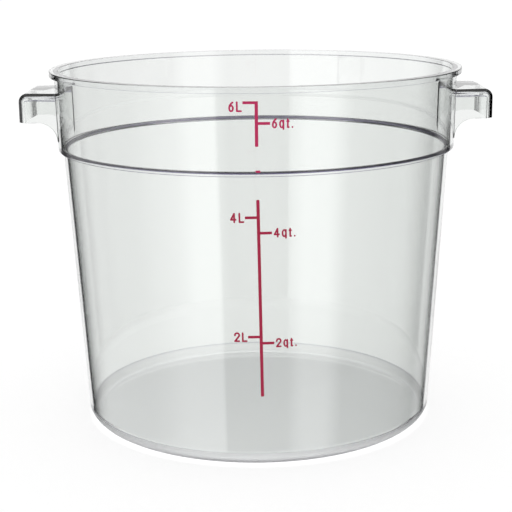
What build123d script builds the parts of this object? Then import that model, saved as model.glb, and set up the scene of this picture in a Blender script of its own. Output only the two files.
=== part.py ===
"""Clear round dough proofing container with two ear handles and a printed volume scale.

Millimetres, +Z up. The origin is the centre of the flat underside, the handles lie
along X and the printed scale faces -Y. The tub with its handles is one moulding, and
each printed mark is a thin layer of ink of its own on the outside of the wall.
"""

import os
from math import cos, radians, sin

from build123d import *

# Tub, outside: the rim sets the width, and each part below it is drawn in by its own step
tub_height = 196.0
rim_radius = 112.8
rim_width = 2.6
rim_thickness = 2.9
band_height = 41.6
band_draft = 0.9
ledge_width = 2.7
wall_draft = 9.1

# Tub, material and corners
wall = 2.2
floor = 2.6
foot_corner = 7.0
rim_corner = 0.5
rim_root_corner = 0.8
ledge_corner = 0.6
ledge_root_corner = 0.5

# Handles, measured from the edge and the top of the rim
handle_projection = 15.1
handle_width = 47.0
handle_drop = 11.8
handle_depth = 15.6
handle_plate = 2.4
handle_lip = 2.9
handle_web = 2.3
handle_corner = 4.6
handle_lip_corner = 1.8
handle_edge_round = 0.7
handle_inside_corner = 2.0
handle_sweep_radius = 10.5

# Printed scale
ink_thickness = 0.12
ink_gap = 0.03
stem_width = 1.6
tick_length = 5.7
tick_thickness = 1.35
upper_stem_offset = 0.15
lower_stem_offset = 0.45
lower_scale_lean = 0.75
litre_caption_gap = 0.3
quart_caption_gap = 0.8
litre_digit_height = 5.1
quart_digit_height = 4.85
dab_offset = 0.65
dab_width = 2.5
dab_height = 1.1

# Heights of the marks, as shares of the band above the ledge and of the wall below it
upper_mark_shares = {"6L": 0.822, "6qt.": 0.584}
lower_mark_shares = {"4L": 0.857, "4qt.": 0.806, "2L": 0.459, "2qt.": 0.437}
upper_stem_foot_share = 0.317
lower_stem_top_share = 0.9145
lower_stem_foot_share = 0.252

# Rounding of the lower line's top end, as a share of its width
stem_round_share = 0.4

# Lettering, as shares of the height of a digit
pen_share = 0.175
glyph_gap_share = 0.19
glyph_width_shares = {"2": 0.57, "4": 0.62, "6": 0.52, "L": 0.55, "q": 0.51, "t": 0.33, ".": 0.175}

# Strokes of each character, as shares of the box that the middle of the pen runs in:
# straight lines through points, arcs through three points, and closed bowls that stand
# on the line, as wide as the box and as high as their share
line_stroke_shares = {
    "2": [[(0.93, 0.58), (0, 0), (1, 0)]],
    "4": [[(1, 0.28), (0, 0.28), (0.7, 1)], [(0.7, 1), (0.7, 0)]],
    "L": [[(0, 1), (0, 0), (1, 0)]],
    "q": [[(1, 0.8), (1, -0.2)]],
    "t": [[(0.4, 0.92), (0.4, 0), (1, 0)], [(0, 0.72), (1, 0.72)]],
}
arc_stroke_shares = {
    "2": [[(0, 0.72), (0.47, 1), (0.93, 0.58)]],
    "6": [[(0, 0.31), (0.24, 0.69), (0.9, 0.98)]],
}
bowl_height_shares = {"6": 0.62, "q": 0.8}

# One overrun serves every cut
overrun = 1.0

# Worked out from the sizes above
band_top_radius = rim_radius - rim_width
band_foot_radius = band_top_radius - band_draft
wall_top_radius = band_foot_radius - ledge_width
wall_foot_radius = wall_top_radius - wall_draft
ledge_height = tub_height - band_height
rim_foot = tub_height - rim_thickness
inner_ledge = ledge_height + wall
handle_reach = rim_radius + handle_projection
handle_half_width = handle_width / 2
handle_top_height = tub_height - handle_drop
handle_foot_height = handle_top_height - handle_depth


def wall_radius(height):
    """Outside radius of the wall below the ledge."""
    return wall_foot_radius + wall_draft * height / ledge_height


def band_radius(height):
    """Outside radius of the band above the ledge."""
    return band_foot_radius + band_draft * (height - ledge_height) / band_height


def keep(node, name):
    """Label a finished piece and write it to its own file."""
    node.part.label = name
    export_step(node.part, f"parts/{name}.step")


os.makedirs("parts", exist_ok=True)

# Space under a handle for the fingers: open below, closed by the lip and the two webs
hollow_foot = handle_foot_height - handle_sweep_radius - overrun
with BuildPart() as finger_space:
    with BuildSketch(Plane.XZ):
        with BuildLine():
            FilletPolyline(
                (0, hollow_foot),
                (handle_reach - handle_lip, hollow_foot),
                (handle_reach - handle_lip, handle_top_height - handle_plate),
                (0, handle_top_height - handle_plate),
                radius=[0, 0, handle_inside_corner, 0],
                close=True,
            )
        make_face()
    extrude(amount=handle_half_width - handle_web, both=True)
    fillet(finger_space.edges().filter_by(Axis.Z).group_by(Axis.X)[-1], handle_inside_corner)

# Places on the outline of a handle, which sweeps down into the band in a hollow arc
sweep_foot = handle_foot_height - handle_sweep_radius
sweep_root = (band_radius(sweep_foot) - wall, sweep_foot)
sweep_end = (sweep_root[0] + handle_sweep_radius, handle_foot_height)
lip_corner_start = (handle_reach - handle_lip_corner, handle_foot_height)
lip_corner_end = (handle_reach, handle_foot_height + handle_lip_corner)
top_corner_start = (handle_reach, handle_top_height - handle_corner)
top_corner_end = (handle_reach - handle_corner, handle_top_height)

# Outline of the round body, outside and inside, each with its corner radii
outer_outline = [
    (0, 0),
    (wall_foot_radius, 0),
    (wall_top_radius, ledge_height),
    (band_foot_radius, ledge_height),
    (band_radius(rim_foot), rim_foot),
    (rim_radius, rim_foot),
    (rim_radius, tub_height),
    (0, tub_height),
]
outer_corners = [0, foot_corner, ledge_root_corner, ledge_corner]
outer_corners += [rim_root_corner, rim_corner, rim_corner, 0]
inner_outline = [
    (0, floor),
    (wall_radius(floor) - wall, floor),
    (wall_top_radius - wall, inner_ledge),
    (band_radius(inner_ledge) - wall, inner_ledge),
    (band_top_radius - wall, tub_height),
    (band_top_radius - wall, tub_height + overrun),
    (0, tub_height + overrun),
]
inner_corners = [0, foot_corner - wall, ledge_corner, ledge_root_corner, 0, 0, 0]

# The tub: a pair of handles, the round body over their roots, then the hollow inside
with BuildPart() as tub:
    with BuildSketch(Plane.XZ):
        with BuildLine():
            Line(sweep_end, lip_corner_start)
            RadiusArc(lip_corner_start, lip_corner_end, -handle_lip_corner)
            Line(lip_corner_end, top_corner_start)
            RadiusArc(top_corner_start, top_corner_end, -handle_corner)
            Polyline(top_corner_end, (0, handle_top_height), (0, sweep_foot), sweep_root)
            RadiusArc(sweep_root, sweep_end, handle_sweep_radius)
        make_face()
    extrude(amount=handle_half_width, both=True)
    side_edges = tub.faces().filter_by(Axis.Y).edges()
    fillet(
        side_edges.filter_by(lambda edge: edge.center().X > 0 and edge.center().Z > sweep_foot),
        handle_edge_round,
    )
    add(finger_space.part, mode=Mode.SUBTRACT)
    mirror(about=Plane.YZ)
    with BuildSketch(Plane.XZ):
        with BuildLine():
            FilletPolyline(*outer_outline, radius=outer_corners, close=True)
        make_face()
    revolve(axis=Axis.Z)
    with BuildSketch(Plane.XZ):
        with BuildLine():
            FilletPolyline(*inner_outline, radius=inner_corners, close=True)
        make_face()
    revolve(axis=Axis.Z, mode=Mode.SUBTRACT)
keep(tub, "tub")


def ink_skin(radius_at, low, high):
    """Thin round skin just outside the wall, from one height to another."""
    near = ink_gap
    far = ink_gap + ink_thickness
    with BuildPart() as skin:
        with BuildSketch(Plane.XZ):
            with BuildLine():
                Polyline(
                    (radius_at(low) + near, low),
                    (radius_at(low) + far, low),
                    (radius_at(high) + far, high),
                    (radius_at(high) + near, high),
                    close=True,
                )
            make_face()
        revolve(axis=Axis.Z)
    return skin.part


def front_plane(offset, height, lean=0):
    """Upright plane facing the front, with its origin at an offset and a height."""
    tilt = radians(lean)
    return Plane(origin=(offset, 0, height), x_dir=(cos(tilt), 0, sin(tilt)), z_dir=(0, -1, 0))


def draw_glyph(letter, left, foot, height):
    """Draw one character with a round pen, its box's lower left corner at left, foot."""
    pen = pen_share * height
    width = glyph_width_shares[letter] * height - pen
    rise = height - pen

    def place(share):
        return left + pen / 2 + share[0] * width, foot + pen / 2 + share[1] * rise

    if letter in bowl_height_shares:
        bowl_rise = bowl_height_shares[letter] * rise
        with Locations(place((1 / 2, bowl_height_shares[letter] / 2))):
            Ellipse((width + pen) / 2, (bowl_rise + pen) / 2)
            Ellipse((width - pen) / 2, (bowl_rise - pen) / 2, mode=Mode.SUBTRACT)
    for curve, strokes in ((Polyline, line_stroke_shares), (ThreePointArc, arc_stroke_shares)):
        for points in strokes.get(letter, []):
            with BuildLine(mode=Mode.PRIVATE) as stroke:
                curve(*map(place, points))
            SlotArc(stroke.wires()[0], pen)
    if letter == ".":
        with Locations(place((0, 0))):
            Circle(pen / 2)


def caption_width(text, height):
    """Width of a caption, from the widths of its characters and the gaps between them."""
    gaps = (len(text) - 1) * glyph_gap_share
    return (sum(glyph_width_shares[letter] for letter in text) + gaps) * height


def draw_caption(text, left, foot, height):
    """Draw a caption from left to right."""
    for letter in text:
        draw_glyph(letter, left, foot, height)
        left += (glyph_width_shares[letter] + glyph_gap_share) * height


def draw_bar(left, right, low, high, end_round=0):
    """Draw an upright rectangle between two places across and two heights."""
    with Locations(((left + right) / 2, (low + high) / 2)):
        Rectangle(right - left, high - low)
    if end_round:
        fillet(vertices().group_by(Axis.Y)[-1], end_round)


def print_ink(name, plane, skin, draw, *sizes):
    """Make one printed mark: a flat drawing thrown onto the skin outside the wall."""
    with BuildPart() as mark:
        with BuildSketch(plane):
            draw(*sizes)
        extrude(amount=rim_radius)
        add(skin, mode=Mode.INTERSECT)
    keep(mark, name)


def print_marks(plane, skin, top, mark_heights):
    """Print the ticks and captions of a scale line: litres on its left, quarts on its right."""
    side = stem_width / 2
    for text, height in mark_heights.items():
        up = height - top
        if text.endswith("L"):
            label = f"{text[0]}_litre"
            digit = litre_digit_height
            tick_ends = (-side - tick_length, -side)
            left = tick_ends[0] - litre_caption_gap - caption_width(text, digit)
        else:
            label = f"{text[0]}_quart"
            digit = quart_digit_height
            tick_ends = (side, side + tick_length)
            left = tick_ends[1] + quart_caption_gap
        tick_levels = (up - tick_thickness / 2, up + tick_thickness / 2)
        print_ink(f"tick_{label}", plane, skin, draw_bar, *tick_ends, *tick_levels)
        caption_foot = min(up - digit / 2, -digit)
        print_ink(f"caption_{label}", plane, skin, draw_caption, text, left, caption_foot, digit)


# Upper scale, on the band: its line starts at the top edge of the first tick
upper_marks = {text: ledge_height + share * band_height for text, share in upper_mark_shares.items()}
upper_top = upper_marks["6L"] + tick_thickness / 2
upper_foot = ledge_height + upper_stem_foot_share * band_height
upper_stem = (-stem_width / 2, stem_width / 2, upper_foot - upper_top, 0)
upper_skin = ink_skin(band_radius, ledge_height + ledge_corner, rim_foot - rim_root_corner)
upper_plane = front_plane(upper_stem_offset, upper_top)
print_ink("scale_line_upper", upper_plane, upper_skin, draw_bar, *upper_stem)
print_marks(upper_plane, upper_skin, upper_top, upper_marks)

# Lower scale, on the wall, printed with a slight lean, its line rounded at the top
lower_marks = {text: share * ledge_height for text, share in lower_mark_shares.items()}
lower_top = lower_stem_top_share * ledge_height
lower_foot = lower_stem_foot_share * ledge_height
lower_stem = (-stem_width / 2, stem_width / 2, lower_foot - lower_top, 0)
lower_skin = ink_skin(wall_radius, foot_corner, ledge_height - ledge_root_corner)
lower_plane = front_plane(lower_stem_offset, lower_top, lower_scale_lean)
stem_round = stem_round_share * stem_width
print_ink("scale_line_lower", lower_plane, lower_skin, draw_bar, *lower_stem, stem_round)
print_marks(lower_plane, lower_skin, lower_top, lower_marks)

# Dab of ink at the foot of the band, between the two lines
dab_plane = front_plane(dab_offset, ledge_height + ledge_corner + dab_height / 2)
print_ink("ledge_dab", dab_plane, upper_skin, SlotOverall, dab_width, dab_height)

for text, height in (upper_marks | lower_marks).items():
    print(f"The {text} mark is {height:.1f} mm up")
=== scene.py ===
# %% [markdown]
# # A clear proofing tub
#
# The object is a round food storage tub moulded in one shot from clear polycarbonate, with
# a ledge, a flat rim and two ear handles, and a volume scale printed on its front in
# crimson ink. A clear object has almost no colour of its own: what makes it visible is how
# it bends and mirrors the room round it. So this lesson spends its time on three things:
# an exact shape with clean normals, a material with a few honest flaws, and a room that is
# worth reflecting.

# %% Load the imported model
from math import pi, radians, sin, tan

import bmesh
import bpy
from mathutils import Matrix


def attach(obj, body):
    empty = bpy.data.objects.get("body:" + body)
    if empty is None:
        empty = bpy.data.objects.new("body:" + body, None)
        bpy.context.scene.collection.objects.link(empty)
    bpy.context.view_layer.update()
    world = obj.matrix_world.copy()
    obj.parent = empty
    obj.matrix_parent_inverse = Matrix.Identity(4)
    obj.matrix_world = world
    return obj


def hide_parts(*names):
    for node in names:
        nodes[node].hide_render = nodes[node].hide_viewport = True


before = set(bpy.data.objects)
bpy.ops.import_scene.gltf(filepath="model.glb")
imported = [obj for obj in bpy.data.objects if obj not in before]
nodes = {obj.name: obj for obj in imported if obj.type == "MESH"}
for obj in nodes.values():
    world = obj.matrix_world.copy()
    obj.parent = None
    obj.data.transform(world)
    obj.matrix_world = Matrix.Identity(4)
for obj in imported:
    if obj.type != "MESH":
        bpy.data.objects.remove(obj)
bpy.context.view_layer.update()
scene = bpy.context.scene

# %% [markdown]
# ## The camera
#
# The photograph looks slightly down on the tub from about three quarters of a metre away,
# through a fairly long lens, so the rim shows as a flat ellipse and the walls run nearly
# straight. Matching it is a matter of measuring: the ellipses of rim, ledge and foot give
# the pitch and the distance. The frame is 512 pixels wide, so a focal length found in
# pixels becomes millimetres through the width of the sensor.

# %% Set up the camera
focal_length_pixels = 1305.7
image_pixels = 512
sensor_width = 36.0
nearest_seen = 0.01
camera_place = (-0.00074, -0.725, 0.2613)
degrees_down = 13.44
degrees_rolled = -0.635

camera_data = bpy.data.cameras.new("camera")
camera_data.sensor_width = sensor_width
camera_data.lens = focal_length_pixels / image_pixels * sensor_width
camera_data.clip_start = nearest_seen
camera = bpy.data.objects.new("camera", camera_data)
scene.collection.objects.link(camera)
camera.matrix_world = (
    Matrix.Translation(camera_place)
    @ Matrix.Rotation(radians(90 - degrees_down), 4, "X")
    @ Matrix.Rotation(radians(degrees_rolled), 4, "Z")
)
scene.camera = camera
scene.view_settings.view_transform = "Standard"
print("lens:", round(camera_data.lens, 1), "mm")

# %% [markdown]
# ## Helpers for nodes
#
# The room, the paper, the plastic and the ink are all drawn with nodes. A few short
# functions keep them readable: each one makes a node and feeds its inputs. An input takes a
# number, a colour or what another node puts out, all in the same way.


# %% Make nodes and feed them
def feed(tree, socket, value):
    """Give an input a number, a colour, or what another node puts out."""
    if isinstance(value, bpy.types.Node):
        value = value.outputs[0]
    if isinstance(value, bpy.types.NodeSocket):
        tree.links.new(value, socket)
    elif isinstance(value, tuple):
        socket.default_value = (*value, 1)
    else:
        socket.default_value = value


def add_node(tree, kind, inputs=None, **settings):
    """A new node with its settings made and its inputs fed."""
    node = tree.nodes.new("ShaderNode" + kind)
    for name, value in settings.items():
        setattr(node, name, value)
    for name, value in (inputs or {}).items():
        feed(tree, node.inputs[name], value)
    return node


def add_math(tree, operation, *values, clamp=False):
    """One sum of up to three values."""
    inputs = dict(enumerate(values))
    return add_node(tree, "Math", inputs, operation=operation, use_clamp=clamp).outputs[0]


def add_range(tree, value, start, end, low=0.0, high=1.0):
    """A number that goes from low to high while the value goes from start to end."""
    inputs = {"Value": value, "From Min": start, "From Max": end, "To Min": low, "To Max": high}
    return add_node(tree, "MapRange", inputs).outputs[0]


def add_mix(tree, share, first, second, blend="MIX"):
    """The first colour at a share of 0, mixed with the second up to a share of 1."""
    inputs = {"Factor": share, "A": first, "B": second}
    return add_node(tree, "Mix", inputs, data_type="RGBA", blend_type=blend).outputs["Result"]


def add_ramp(tree, value, stops):
    """A colour for each value, from a list of positions from 0 to 1 and their colours."""
    ramp = add_node(tree, "ValToRGB", {"Fac": value})
    for place, (position, colour) in enumerate(stops):
        if place < 2:
            stop = ramp.color_ramp.elements[place]
            stop.position = position
        else:
            stop = ramp.color_ramp.elements.new(position)
        stop.color = (*colour, 1)
    return ramp.outputs["Color"]


# %% [markdown]
# ## The room
#
# The tub was photographed on white, between two large soft lights, one on each side of the
# camera. Everything that a clear wall mirrors comes from that room, so the room is drawn
# as a band of light and dark that runs once round the horizon. It could be made of lamps
# and cards, but a pattern in the world is free of noise and can be read as a list: an
# angle, and how bright the room is in that direction.
#
# Light Path decides who sees what. A ray that has been mirrored at least once sees the
# ring, with a grey glow above it and white far below. A ray that was only bent sees white
# when it ends up level or falling, and a dark violet upper room when it climbs. Both see
# white where they climb steeply. The camera sees the white backdrop, and rays that light the
# ink and the floor see one plain level.

# %% Describe the room
# Degrees round the room, where 0 is straight behind the tub, 90 is to its right and
# 180 is behind the camera, each with its brightness
room_lights = [
    (-180, 0.36), (-159, 0.36), (-157, 1.6), (-132, 1.6), (-118, 1.15), (-104, 0.85),
    (-60, 0.8), (-50, 0.5), (-42, 0.2), (-37, 0.0), (-28, 0.0), (-26, 1.0), (29, 1.0),
    (31, 0.0), (37, 0.0), (43, 0.35), (50, 0.35), (58, 0.0), (124, 0.0), (136, 1.15),
    (152, 1.25), (162, 0.32), (180, 0.36),
]
white = (1, 1, 1)
upper_room = (0.16, 0.14, 0.26)
wall_glow = (0.40, 0.41, 0.41)
plain_level = 0.85

# Degrees that a ray climbs, from where one part of the room ends to where the next is full
steeply_down = (-55, -45)
into_upper_room = (-1, 2)
above_ring = (12, 18)
steeply_up = (45, 60)

# Bounces are counted in whole numbers, so a count above this means at least one
at_least_one = 0.5

# %% Build the world
world = bpy.data.worlds.new("studio")
world.use_nodes = True
scene.world = world
room = world.node_tree
room.nodes.clear()

direction = add_node(room, "TexCoord").outputs["Generated"]
ray = add_node(room, "SeparateXYZ", {0: direction})
angle = add_math(room, "ARCTAN2", ray.outputs["X"], ray.outputs["Y"])
ring_stops = [((degree + 180) / 360, (level, level, level)) for degree, level in room_lights]
ring = add_ramp(room, add_range(room, angle, -pi, pi), ring_stops)


def climb(limits):
    """How far a ray's climb has gone from one angle to the next, as a share."""
    first, last = limits
    return add_range(room, ray.outputs["Z"], sin(radians(first)), sin(radians(last)))


path = add_node(room, "LightPath")
mirrored = add_math(room, "GREATER_THAN", path.outputs["Glossy Depth"], at_least_one)
not_lighting = add_math(room, "LESS_THAN", path.outputs["Diffuse Depth"], at_least_one)
off_plastic = add_math(
    room, "MAXIMUM", path.outputs["Is Transmission Ray"], path.outputs["Is Glossy Ray"])
off_plastic = add_math(room, "MULTIPLY", off_plastic, not_lighting)

room_mirrored = add_mix(room, climb(steeply_down), white, ring)
room_mirrored = add_mix(room, climb(above_ring), room_mirrored, wall_glow)
room_bent = add_mix(room, climb(into_upper_room), white, upper_room)
room_seen = add_mix(room, mirrored, room_bent, room_mirrored)
room_seen = add_mix(room, climb(steeply_up), room_seen, white)
room_seen = add_mix(room, off_plastic, (plain_level,) * 3, room_seen)
room_seen = add_mix(room, path.outputs["Is Camera Ray"], room_seen, white)
background = add_node(room, "Background", {"Color": room_seen})
add_node(room, "OutputWorld", {"Surface": background})
print("room:", len(room_lights), "stops,", len(room.nodes), "nodes")

# %% [markdown]
# ## The floor
#
# The tub stands on a sheet of white paper. A plain diffuse floor would render a little
# darker than the backdrop, so it also glows by what it lacks. The shadow stays, because
# only the diffuse part can be shaded. Under the tub less of the room's light arrives, so
# there the paper glows more, up to a soft edge at the foot: a painted light that fills the
# tub's shadow there and sets how bright the base looks.
#
# Walls that lean mirror the floor as much as the room, and a white floor would wash out
# the dark reflections that give the clear walls their tone. So a ray that has been mirrored
# looks through the paper beyond the tub, to the ring of light and dark, which goes on below
# the horizon.

# %% Lay the floor
paper_reach = 6.0
paper_drop = 0.0003

floor_mesh = bpy.data.meshes.new("paper_floor")
floor = bpy.data.objects.new("paper_floor", floor_mesh)
scene.collection.objects.link(floor)
bm = bmesh.new()
bmesh.ops.create_grid(bm, x_segments=1, y_segments=1, size=paper_reach)
bmesh.ops.translate(bm, verts=bm.verts, vec=(0, 0, -paper_drop))
bm.to_mesh(floor_mesh)
bm.free()

# %% Make the paper
paper_colour = 0.3
paper_level = 1.03
glow_level = paper_level - paper_colour * plain_level
# Painted light: under the tub the paper glows brighter than around it, filling the tub's shadow
painted_light_under_tub = 1.09
under_tub = 0.0985
soft_edge = 0.004

paper = bpy.data.materials.new("white_paper")
paper.use_nodes = True
tree = paper.node_tree
tree.nodes.clear()
place = add_node(tree, "TexCoord").outputs["Object"]
from_centre = add_node(tree, "VectorMath", {0: place}, operation="LENGTH").outputs["Value"]
glow_here = add_range(
    tree, from_centre, under_tub - soft_edge, under_tub, painted_light_under_tub, glow_level)
sheet = add_node(tree, "BsdfDiffuse", {"Color": (paper_colour,) * 3})
glow = add_node(tree, "Emission", {"Strength": glow_here})
lit_paper = add_node(tree, "AddShader", {0: sheet, 1: glow})

path = add_node(tree, "LightPath")
was_mirrored = add_math(tree, "GREATER_THAN", path.outputs["Glossy Depth"], at_least_one)
beyond_tub = add_math(tree, "GREATER_THAN", from_centre, under_tub)
looks_through = add_math(tree, "MULTIPLY", was_mirrored, beyond_tub)
look_through = add_node(tree, "BsdfTransparent")
paper_or_room = add_node(
    tree, "MixShader", {"Fac": looks_through, 1: lit_paper, 2: look_through})
add_node(tree, "OutputMaterial", {"Surface": paper_or_room})
floor_mesh.materials.append(paper)
print("paper glow:", round(glow_level, 3), "under the tub:", painted_light_under_tub)

# %% [markdown]
# ## The shape of the tub
#
# The CAD solid is exact, but its mesh is a fan of long triangles, and a clear wall shows
# every break in its normals. So the tub is modelled again. Its main sizes are the solid's.
# The ledge lies a little lower and some small corners are rounder or sharper, as the
# renders asked for once they lay beside the photograph. It is a turned shape: an outline,
# rounded at its corners and spun once round the upright axis. Three solids make it, as in a
# mould: the outside, the hollow inside, and the handles.
#
# Long flat faces next to a small rounding get wrong normals, since a smooth normal is an
# average. Two extra points close to the ends of each long edge hold the normals in place, as
# support loops do in any subdivision model.

# %% Sizes of the moulding
mm = 0.001
support = 0.15 * mm
long_edge = 6 * support
spin_steps = 360
corner_steps = 7

# The profile of a rounding: 0.5 is round, and 0.25 would be a flat cut
round_profile = 0.5

# Points closer than this are one point, in metres, in an outline and round the seam
outline_merge = 1e-6
seam_merge = 1e-7

# Corners of the outlines, in millimetres: radius, height and size of the rounding
outside_corners = [
    (0, 0, 0),
    (97.5, 0, 7.0),
    (97.924, 7.2, 0),
    (106.506, 152.8, 0.5),
    (109.265, 152.8, 0.6),
    (110.137, 193.1, 0.3),
    (112.8, 193.1, 0.15),
    (112.8, 196.0, 0.5),
    (0, 196.0, 0),
]
inside_corners = [
    (0, 2.6, 0),
    (95.453, 2.6, 6.0),
    (104.307, 155.0, 1.9),
    (107.113, 155.0, 0.5),
    (108.0, 196.0, 0.25),
    (112.0, 196.0, 0),
    (112.0, 200.0, 0),
    (0, 200.0, 0),
]


# %% Draw and round an outline
def rounded_outline(bm, corners, steps=corner_steps):
    """A flat face in the XZ plane through the corners, each one rounded."""
    points = [bm.verts.new((across * mm, 0, up * mm)) for across, up, size in corners]
    bm.faces.new(points)
    for point, (across, up, size) in zip(points, corners):
        if size:
            sides = [edge.other_vert(point).co - point.co for edge in point.link_edges]
            half_corner = sides[0].angle(sides[1]) / 2
            bmesh.ops.bevel(
                bm, geom=[point], offset=size * mm / tan(half_corner), affect="VERTICES",
                segments=steps, profile=round_profile, material=-1,
            )
    bmesh.ops.remove_doubles(bm, verts=bm.verts, dist=outline_merge)


def add_supports(bm):
    """Two extra points on each long edge, close to its ends."""
    for edge in [edge for edge in bm.edges if edge.calc_length() > long_edge]:
        first, last = edge.verts
        point = bmesh.utils.edge_split(edge, first, support / edge.calc_length())[1]
        rest = next(part for part in point.link_edges if last in part.verts)
        bmesh.utils.edge_split(rest, last, support / rest.calc_length())


# %% Spin an outline into a solid
def turned_solid(name, corners):
    """Spin a rounded outline round the upright axis into a closed solid."""
    bm = bmesh.new()
    rounded_outline(bm, corners)
    bmesh.ops.delete(bm, geom=bm.faces[:], context="FACES_ONLY")
    on_axis = [
        edge for edge in bm.edges
        if max(point.co.x for point in edge.verts) < outline_merge
    ]
    bmesh.ops.delete(bm, geom=on_axis, context="EDGES")
    add_supports(bm)
    bmesh.ops.spin(
        bm, geom=bm.verts[:] + bm.edges[:], cent=(0, 0, 0), axis=(0, 0, 1),
        angle=2 * pi, steps=spin_steps, use_merge=True,
    )
    bmesh.ops.remove_doubles(bm, verts=bm.verts, dist=seam_merge)
    bmesh.ops.recalc_face_normals(bm, faces=bm.faces)
    mesh = bpy.data.meshes.new(name)
    bm.to_mesh(mesh)
    open_edges = sum(not edge.is_manifold for edge in bm.edges)
    litres = bm.calc_volume(signed=True) * 1000
    print(name, "faces:", len(bm.faces), "open edges:", open_edges, "litres:", round(litres, 3))
    bm.free()
    return bpy.data.objects.new(name, mesh)


outside = turned_solid("tub_outside", outside_corners)
inside = turned_solid("tub_inside", inside_corners)

# %% [markdown]
# ## The handles
#
# Each handle is a tray turned upside down: a top plate with a down-turned lip, closed in
# front and behind by two webs, open below for the fingers. Its underside sweeps down into
# the band in a hollow arc. A side view, pushed out to the width of the handle and rounded
# along its edges, makes the block, and a smaller block makes the space for the fingers.
# The shoulders, which are the outer edges at the front and the back of the block, get a
# flatter rounding than the rest. Edges to be rounded are picked by where they lie.

# %% Sizes of a handle, in millimetres
handle_width = 47.0
web = 2.3
handle_corners = [
    (95.0, 158.1, 0),
    (107.194, 158.1, 0),
    (107.194, 168.6, 10.5),
    (127.9, 168.6, 0),
    (127.9, 184.2, 4.6),
    (95.0, 184.2, 0),
]
arc_steps = 9

# Shoulder edges lie beyond one distance from the axis and reach above one height
shoulder = 3.4
shoulder_profile = 0.3
shoulder_beyond = 123.2
shoulder_above = 169.0

# The edges of the top lie above one height and reach this far to the front or the back
top_round = 0.7
top_above = 184.15
top_reach = 23.4
edge_steps = 4

# The space for the fingers is rounded at its outer end and along its ceiling
finger_corners = [(90.0, 150.0, 0), (125.5, 150.0, 0), (125.5, 181.8, 0), (90.0, 181.8, 0)]
finger_round = 2.0
finger_beyond = 125.4
finger_above = 181.7
finger_steps = 6


# %% Push a side view out to a block
def pushed_block(corners, width, steps):
    """Extrude a rounded side view to its width, centred on the XZ plane."""
    bm = bmesh.new()
    rounded_outline(bm, corners, steps)
    bmesh.ops.translate(bm, verts=bm.verts, vec=(0, -width / 2 * mm, 0))
    pushed = bmesh.ops.extrude_face_region(bm, geom=bm.faces[:])["geom"]
    moved = [item for item in pushed if isinstance(item, bmesh.types.BMVert)]
    bmesh.ops.translate(bm, verts=moved, vec=(0, width * mm, 0))
    bmesh.ops.recalc_face_normals(bm, faces=bm.faces)
    return bm


def on_one_side(edge):
    """Whether an edge of the block lies wholly in its front or its back face."""
    return edge.verts[0].co.y * edge.verts[1].co.y > 0


def round_edges(bm, edges, size, steps, profile=round_profile):
    """Round some edges of a block in one go."""
    bmesh.ops.bevel(
        bm, geom=edges, offset=size * mm, affect="EDGES", segments=steps, profile=profile,
        material=-1,
    )


# %% Shape the handle
handle_bm = pushed_block(handle_corners, handle_width, arc_steps)
shoulder_edges = [
    edge for edge in handle_bm.edges
    if on_one_side(edge) and min(point.co.x for point in edge.verts) > shoulder_beyond * mm
    and max(point.co.z for point in edge.verts) > shoulder_above * mm
]
round_edges(handle_bm, shoulder_edges, shoulder, edge_steps, shoulder_profile)
top_edges = [
    edge for edge in handle_bm.edges
    if on_one_side(edge) and min(point.co.z for point in edge.verts) > top_above * mm
    and max(abs(point.co.y) for point in edge.verts) > top_reach * mm
]
round_edges(handle_bm, top_edges, top_round, edge_steps)
print("top edges:", len(top_edges), "handle faces:", len(handle_bm.faces))

# %% Shape the space for the fingers
finger_bm = pushed_block(finger_corners, handle_width - 2 * web, finger_steps)
closed_edges = [
    edge for edge in finger_bm.edges
    if all(point.co.x > finger_beyond * mm for point in edge.verts)
    and any(point.co.z > finger_above * mm for point in edge.verts)
    or all(point.co.z > finger_above * mm for point in edge.verts) and on_one_side(edge)
]
round_edges(finger_bm, closed_edges, finger_round, finger_steps)
print("finger space faces:", len(finger_bm.faces))


# %% [markdown]
# ## Joining the solids
#
# Booleans do here what the mould does: the handles join the outside, then the inside is
# taken away. The space for the fingers is cut from each handle before it joins. The exact
# solver keeps the long faces of the walls as they are.

# %% Join and cut
def bm_object(name, bm, turned):
    """An object from a bmesh, turned half round for the other side if asked."""
    mesh = bpy.data.meshes.new(name)
    if turned:
        bmesh.ops.rotate(bm, verts=bm.verts, cent=(0, 0, 0), matrix=Matrix.Rotation(pi, 3, "Z"))
    bm.to_mesh(mesh)
    return bpy.data.objects.new(name, mesh)


def boolean(target, tool, operation):
    """Join or cut one object with another and keep the result as its mesh."""
    for item in (target, tool):
        if item.name not in scene.collection.objects:
            scene.collection.objects.link(item)
    step = target.modifiers.new(operation, "BOOLEAN")
    step.operation = operation
    step.solver = "EXACT"
    step.object = tool
    step.material_mode = "INDEX"
    bpy.context.view_layer.update()
    graph = bpy.context.evaluated_depsgraph_get()
    result = bpy.data.meshes.new_from_object(target.evaluated_get(graph))
    target.modifiers.clear()
    target.data = result
    bpy.data.objects.remove(tool)


left_and_right = []
for turned in (False, True):
    handle = bm_object("handle_block", handle_bm, turned)
    boolean(handle, bm_object("finger_space", finger_bm, turned), "DIFFERENCE")
    left_and_right.append(handle)
for handle in left_and_right:
    boolean(outside, handle, "UNION")
boolean(outside, inside, "DIFFERENCE")
handle_bm.free()
finger_bm.free()
outside.name = "clear_tub"
clear_tub = outside
print("joined faces:", len(clear_tub.data.polygons))

# %% [markdown]
# ## Faces with another finish
#
# Most of the tub is glossy. The underside and the foot are textured, outside and in, with a
# smooth ring between the middle of the underside and its edge. The step that runs round the
# inside of the ledge is textured too, and has a painted violet shade for the dark line along
# the ledge. Each finish is a material of its own, so each face is told by its place which
# one it has.

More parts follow.
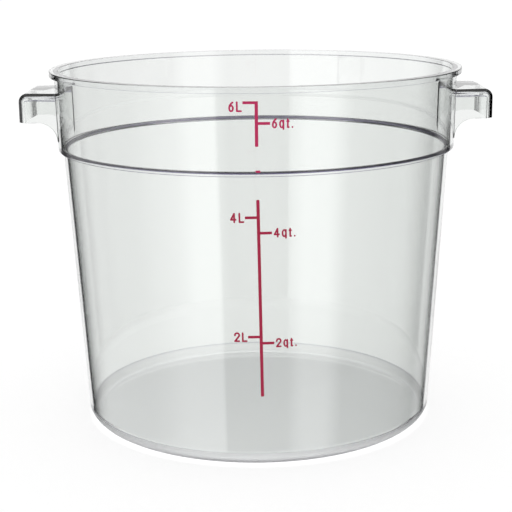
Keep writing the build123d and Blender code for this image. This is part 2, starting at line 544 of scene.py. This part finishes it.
# %% Where the finish changes, in millimetres
underside_below = 0.01
smooth_ring = (74, 88)
foot_below = 7.25
inside_foot = (3.2, 7.0)
step_heights = (153.6, 154.9)
step_radii = (103, 106.5)
step_upwards = 0.1
textured_slot = 1
# The step inside the ledge gets a painted violet shade for the dark line along the ledge
violet_shaded_slot = 2


def within(length, limits):
    """Whether a length in metres lies between two limits in millimetres."""
    first, last = limits
    return first * mm < length < last * mm


def is_textured(centre, normal):
    """Whether a face is on the textured underside or on the foot, outside or inside."""
    underside = centre.z < underside_below * mm and not within(centre.xy.length, smooth_ring)
    outside_foot = centre.z < foot_below * mm and normal.xy.dot(centre.xy) > 0
    return underside or outside_foot or within(centre.z, inside_foot) and normal.z > 0


def is_violet_shaded_step(centre, normal):
    """Whether a face is on the step inside the ledge and looks upwards."""
    return (
        within(centre.z, step_heights) and within(centre.xy.length, step_radii)
        and normal.z > step_upwards
    )


# %% Smooth the faces and check the mesh
merge_distance = 2e-6
shortest_edge = 1e-7
sharp_degrees = 32

bm = bmesh.new()
bm.from_mesh(clear_tub.data)
bmesh.ops.remove_doubles(bm, verts=bm.verts, dist=merge_distance)
bmesh.ops.dissolve_degenerate(bm, edges=bm.edges, dist=shortest_edge)
for face in bm.faces:
    face.smooth = True
    centre = face.calc_center_median()
    if is_textured(centre, face.normal):
        face.material_index = textured_slot
    if is_violet_shaded_step(centre, face.normal):
        face.material_index = violet_shaded_slot
open_edges = sum(not edge.is_manifold for edge in bm.edges)
cubic_mm = bm.calc_volume(signed=True) / mm ** 3
bm.to_mesh(clear_tub.data)
bm.free()
clear_tub.data.set_sharp_from_angle(angle=radians(sharp_degrees))
clear_tub.data.calc_loop_triangles()
print("tub triangles:", len(clear_tub.data.loop_triangles), "open edges:", open_edges,
      "volume:", round(cubic_mm), "cubic mm")
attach(clear_tub, "root")
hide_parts("tub")

# %% [markdown]
# ## Clear plastic
#
# Polycarbonate bends light a little more than window glass. The Principled shader does the
# optics, and a volume tints the light that runs a long way inside the wall, so edges look
# faintly violet while the walls stay clear. The rest is the small wrong in the real thing: a
# film of fine scuffs, and slow waves left by the flow of the melt. The textured plastic of
# the foot is the same with an even roughness, and the plastic of the step is that one again
# with a faint violet tint, which is painted shade for the dark line along the ledge.

# %% Mix the clear plastic
clear_colour = (0.931, 0.948, 0.930)
refractive_index = 1.585
scuffs_per_metre = 90.0
scuff_detail = 4.0
scuff_gain = 0.06
scuff_offset = -0.03
waves_per_metre = 9.0
wave_detail = 1.0
wave_strength = 0.02
wave_height = 0.01

plastic = bpy.data.materials.new("clear_polycarbonate")
plastic.use_nodes = True
tree = plastic.node_tree
clear = tree.nodes["Principled BSDF"]
feed(tree, clear.inputs["Base Color"], clear_colour)
feed(tree, clear.inputs["IOR"], refractive_index)
feed(tree, clear.inputs["Transmission Weight"], 1.0)
feed(tree, clear.inputs["Roughness"], 0.0)
place = add_node(tree, "TexCoord").outputs["Object"]


def add_noise(tree, place, scale, detail):
    """A soft random pattern, by how often it turns per metre and how fine it goes."""
    inputs = {"Vector": place, "Scale": scale, "Detail": detail}
    return add_node(tree, "TexNoise", inputs).outputs["Fac"]


scuffs = add_noise(tree, place, scuffs_per_metre, scuff_detail)
scuff_level = add_math(tree, "MULTIPLY_ADD", scuffs, scuff_gain, scuff_offset, clamp=True)
feed(tree, clear.inputs["Roughness"], scuff_level)
waves = add_noise(tree, place, waves_per_metre, wave_detail)
ripple = add_node(
    tree, "Bump", {"Strength": wave_strength, "Distance": wave_height, "Height": waves})
feed(tree, clear.inputs["Normal"], ripple)
print("plastic nodes:", len(tree.nodes))

# %% Add the textured finish and the step's painted violet shade
texture_roughness = 0.4
# Painted violet shade on the step inside the ledge, standing in for the dark line along the
# ledge
painted_violet_shade = (0.78, 0.70, 1.0)
tint_colour = (0.20, 0.13, 0.42)
tint_density = 9.0

textured = plastic.copy()
textured.name = "textured_polycarbonate"
tree = textured.node_tree
roughness = tree.nodes["Principled BSDF"].inputs["Roughness"]
for link in roughness.links:
    tree.links.remove(link)
feed(tree, roughness, texture_roughness)

# The step's material: textured, with the painted violet shade as its base colour
violet_shaded = textured.copy()
violet_shaded.name = "violet_shaded_polycarbonate"
feed(violet_shaded.node_tree, violet_shaded.node_tree.nodes["Principled BSDF"].inputs["Base Color"], painted_violet_shade)

for material in (plastic, textured, violet_shaded):
    tree = material.node_tree
    tint = add_node(tree, "VolumeAbsorption", {"Color": tint_colour, "Density": tint_density})
    feed(tree, tree.nodes["Material Output"].inputs["Volume"], tint)
    clear_tub.data.materials.append(material)

slots_used = [face.material_index for face in clear_tub.data.polygons]
print("textured faces:", slots_used.count(textured_slot), "worn faces:",
      slots_used.count(violet_shaded_slot), "materials:", len(clear_tub.data.materials))

# %% [markdown]
# ## Crimson ink
#
# The scale is screen printed in one thin pass. The ink lies matt to satin on the gloss of
# the wall, a little uneven where the mesh of the screen let less through. Below the ledge it
# is darker than on the band, and it passes from one to the other over a short height.

# %% Mix the ink
ink_roughness = 0.42
ink_shine = 0.3
mottles_per_metre = 1400.0
mottle_detail = 3.0
ink_shades = [(0.3, (0.45, 0.014, 0.080)), (0.7, (0.55, 0.026, 0.125))]
# The ink is darker below the ledge, passing over between these two heights in metres
below_ledge_tint = (0.76, 0.5, 0.5)
darkening_starts = 0.160
darkening_full = 0.135
grain_strength = 0.15
grain_height = 0.0001

ink = bpy.data.materials.new("crimson_ink")
ink.use_nodes = True
tree = ink.node_tree
coat = tree.nodes["Principled BSDF"]
feed(tree, coat.inputs["Roughness"], ink_roughness)
feed(tree, coat.inputs["Specular IOR Level"], ink_shine)
place = add_node(tree, "TexCoord").outputs["Object"]
mottle = add_noise(tree, place, mottles_per_metre, mottle_detail)
shade = add_ramp(tree, mottle, ink_shades)
up = add_node(tree, "SeparateXYZ", {0: place}).outputs["Z"]
below_ledge_share = add_range(tree, up, darkening_starts, darkening_full)
feed(tree, coat.inputs["Base Color"], add_mix(tree, below_ledge_share, shade, below_ledge_tint, "MULTIPLY"))
grain = add_node(
    tree, "Bump", {"Strength": grain_strength, "Distance": grain_height, "Height": mottle})
feed(tree, coat.inputs["Normal"], grain)
print("ink nodes:", len(tree.nodes))

# %% Give each node its material
for name, node in nodes.items():
    node.data.materials.clear()
    node.data.materials.append(plastic if name == "tub" else ink)
print("inked nodes:", len(nodes) - 1)
